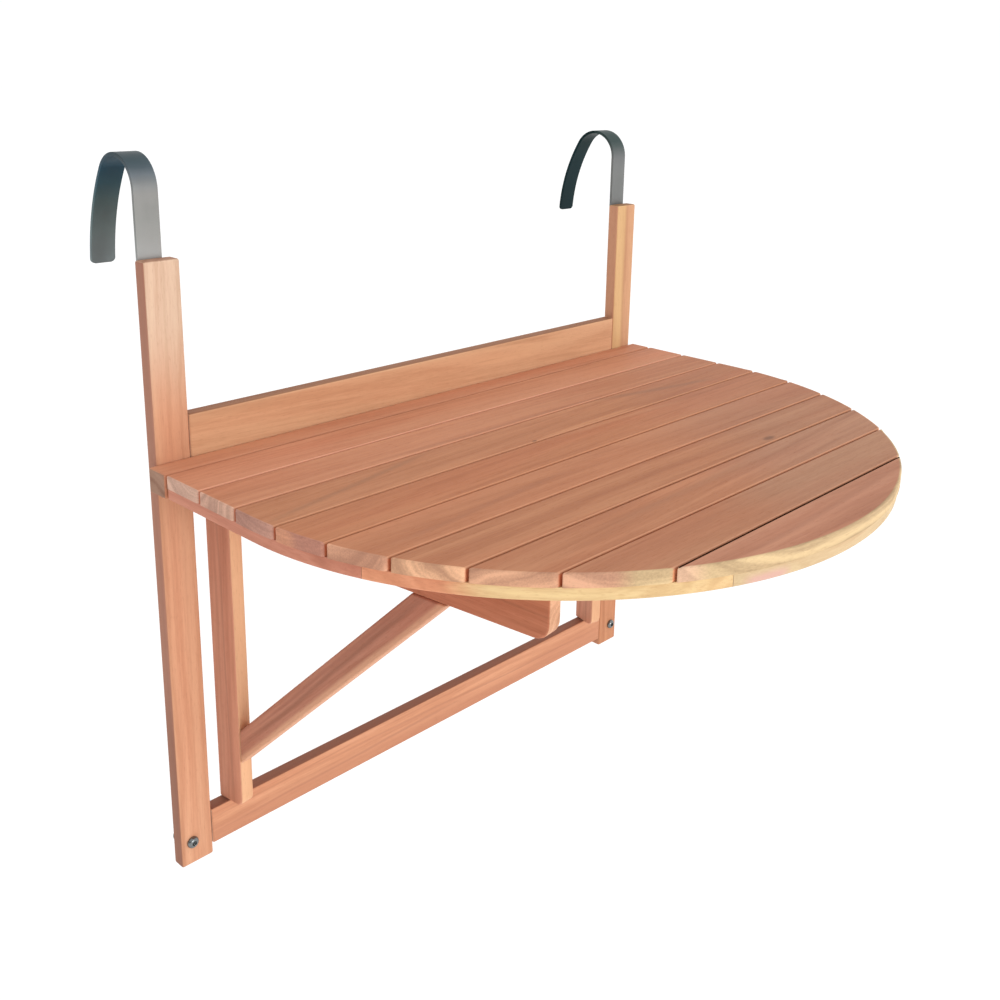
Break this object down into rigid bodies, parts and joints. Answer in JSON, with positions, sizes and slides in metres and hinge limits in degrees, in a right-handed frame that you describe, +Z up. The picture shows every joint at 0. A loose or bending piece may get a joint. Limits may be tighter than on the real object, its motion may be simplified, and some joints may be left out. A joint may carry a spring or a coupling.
{
  "type": "balcony side table",
  "caption": "Folding wooden side table that hangs on a balcony handrail by flat steel hooks, with a half-round slatted top on swinging triangular brackets.",
  "frame": {"origin": "top of the handrail, midway between the two hooks and midway between their near and free legs", "axes": "+X along the handrail, with the left upright at -X for someone who sits at the table's front and faces the railing; -Y out from the railing to the half-round front; +Z up"},
  "size_m": [0.6, 0.5231, 0.6],
  "materials": {
    "oiled_wood": "oiled reddish hardwood, satin",
    "oiled_wood_light": "oiled hardwood, lighter boards, satin",
    "oiled_wood_dark": "oiled hardwood, darker boards, satin",
    "rim_sapwood": "oiled pale sapwood, satin",
    "hook_steel": "flat strip steel, grey satin",
    "zinc_steel": "zinc-plated steel",
    "dark_steel": "dark plated steel",
    "rubber": "black rubber, matt"
  },
  "bodies": {
    "hanging_frame": {"batten_screw_1": "zinc_steel", "batten_screw_2": "zinc_steel", "batten_screw_3": "zinc_steel", "hinge_batten": "oiled_wood", "left_bolt": "dark_steel", "left_bolt_nut": "zinc_steel", "left_fixed_leaf": "zinc_steel", "left_fixed_leaf_screw_1": "zinc_steel", "left_fixed_leaf_screw_2": "zinc_steel", "left_hinge_pin": "zinc_steel", "left_hook": "hook_steel", "left_hook_screw_1": "zinc_steel", "left_hook_screw_2": "zinc_steel", "left_lower_pivot_pin": "zinc_steel", "left_pad": "rubber", "left_upper_pivot_pin": "zinc_steel", "left_upright": "oiled_wood_light", "lower_rail": "oiled_wood", "right_bolt": "dark_steel", "right_bolt_nut": "zinc_steel", "right_fixed_leaf": "zinc_steel", "right_fixed_leaf_screw_1": "zinc_steel", "right_fixed_leaf_screw_2": "zinc_steel", "right_hinge_pin": "zinc_steel", "right_hook": "hook_steel", "right_hook_screw_1": "zinc_steel", "right_hook_screw_2": "zinc_steel", "right_lower_pivot_pin": "zinc_steel", "right_pad": "rubber", "right_upper_pivot_pin": "zinc_steel", "right_upright": "oiled_wood_light", "upper_rail": "oiled_wood_light"},
    "tabletop": {"centre_batten": "oiled_wood", "left_moving_leaf": "zinc_steel", "left_moving_leaf_screw_1": "zinc_steel", "left_moving_leaf_screw_2": "zinc_steel", "plank_1": "oiled_wood", "plank_2": "oiled_wood_light", "plank_3": "oiled_wood_dark", "plank_4": "oiled_wood", "plank_5": "oiled_wood_light", "plank_6": "oiled_wood_dark", "plank_7": "oiled_wood", "plank_8": "oiled_wood_light", "plank_9": "oiled_wood_dark", "rear_rail": "oiled_wood", "right_moving_leaf": "zinc_steel", "right_moving_leaf_screw_1": "zinc_steel", "right_moving_leaf_screw_2": "zinc_steel", "rim_front": "rim_sapwood", "rim_left_curve": "oiled_wood_light", "rim_left_side": "oiled_wood_dark", "rim_right_curve": "rim_sapwood", "rim_right_side": "oiled_wood_dark"},
    "left_bracket": {"left_bracket_arm": "oiled_wood", "left_bracket_brace": "oiled_wood", "left_bracket_post": "oiled_wood_dark"},
    "right_bracket": {"right_bracket_arm": "oiled_wood", "right_bracket_brace": "oiled_wood", "right_bracket_post": "oiled_wood_dark"}
  },
  "joints": [
    {"name": "tabletop_hinge", "type": "hinge", "parent": "hanging_frame", "child": "tabletop", "pos_m": [0, -0.0705, -0.2544], "axis": [-1, 0, 0], "range_deg": [0, 5]},
    {"name": "left_bracket_swing", "type": "hinge", "parent": "hanging_frame", "child": "left_bracket", "pos_m": [-0.2394, -0.0398, -0.4025], "axis": [0, 0, 1], "range_deg": [-6.9, 83.1]},
    {"name": "right_bracket_swing", "type": "hinge", "parent": "hanging_frame", "child": "right_bracket", "pos_m": [0.2394, -0.0398, -0.4025], "axis": [0, 0, -1], "range_deg": [-11.6, 72.4]}
  ]
}
